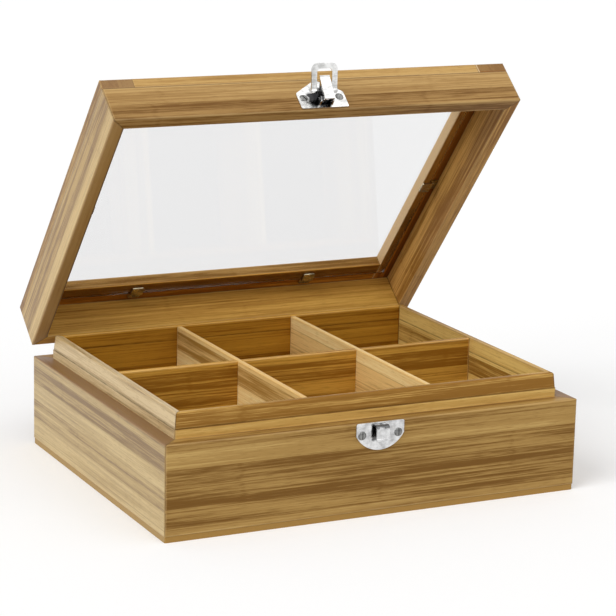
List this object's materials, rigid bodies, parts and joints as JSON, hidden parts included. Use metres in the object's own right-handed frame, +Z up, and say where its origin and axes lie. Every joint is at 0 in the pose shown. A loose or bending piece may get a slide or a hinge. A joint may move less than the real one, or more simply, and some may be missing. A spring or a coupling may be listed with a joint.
{
  "type": "tea bag organizer box",
  "caption": "Bamboo tea bag box with divided compartments, a hinged lid with a framed clear window, and a small draw latch on the front.",
  "frame": {"origin": "centre of the underside of the box", "axes": "+X to the right seen from the front, +Y towards the hinges at the back, +Z up"},
  "size_m": [0.228, 0.2084, 0.216],
  "materials": {
    "bamboo": "strip-laminated bamboo, satin clear lacquer",
    "bamboo_inside": "strip-laminated bamboo, thin satin lacquer",
    "bright_metal": "bright nickel plate on pressed steel",
    "dark_metal": "antique bronze plate on pressed steel",
    "pane": "clear, polished"
  },
  "bodies": {
    "box": {"bottom_board": "bamboo_inside", "front_wall": "bamboo", "right_wall": "bamboo", "back_wall": "bamboo", "left_wall": "bamboo", "liner_front": "bamboo", "liner_right": "bamboo", "liner_back": "bamboo", "liner_left": "bamboo", "long_divider": "bamboo_inside", "cross_divider_left": "bamboo_inside", "cross_divider_right": "bamboo_inside", "strike_plate": "bright_metal", "strike_screws": "bright_metal", "hinge_leaf_base_left": "bright_metal", "hinge_leaf_base_right": "bright_metal", "hinge_pin_left": "bright_metal", "hinge_pin_right": "bright_metal", "hinge_screws_base": "bright_metal"},
    "lid": {"lid_rail_front": "bamboo", "lid_rail_right": "bamboo", "lid_rail_back": "bamboo", "lid_rail_left": "bamboo", "top_frame_front": "bamboo", "top_frame_back": "bamboo", "top_frame_left": "bamboo", "top_frame_right": "bamboo", "window_pane": "pane", "pane_clip_back_left": "dark_metal", "pane_clip_back_right": "dark_metal", "pane_clip_front_left": "dark_metal", "pane_clip_front_right": "dark_metal", "pane_clip_left": "dark_metal", "pane_clip_right": "dark_metal", "clip_screws": "dark_metal", "hinge_leaf_lid_left": "bright_metal", "hinge_leaf_lid_right": "bright_metal", "hinge_screws_lid": "bright_metal", "latch_plate": "bright_metal", "latch_screws": "bright_metal", "latch_pin": "bright_metal"},
    "lever": {"latch_lever": "bright_metal", "bail_pin": "bright_metal"},
    "bail": {"latch_bail": "bright_metal"}
  },
  "joints": [
    {"name": "lid_hinge", "type": "hinge", "parent": "box", "child": "lid", "pos_m": [0, 0.097, 0.04865], "axis": [-1, 0, 0], "range_deg": [-50, 48]},
    {"name": "latch_lever_pivot", "type": "hinge", "parent": "lid", "child": "lever", "pos_m": [0, -0.0238, 0.19845], "axis": [-1, 0, 0], "range_deg": [-92, 16]},
    {"name": "latch_bail_pivot", "type": "hinge", "parent": "lever", "child": "bail", "pos_m": [0, -0.02101, 0.20187], "axis": [1, 0, 0], "range_deg": [-34, 45]}
  ]
}
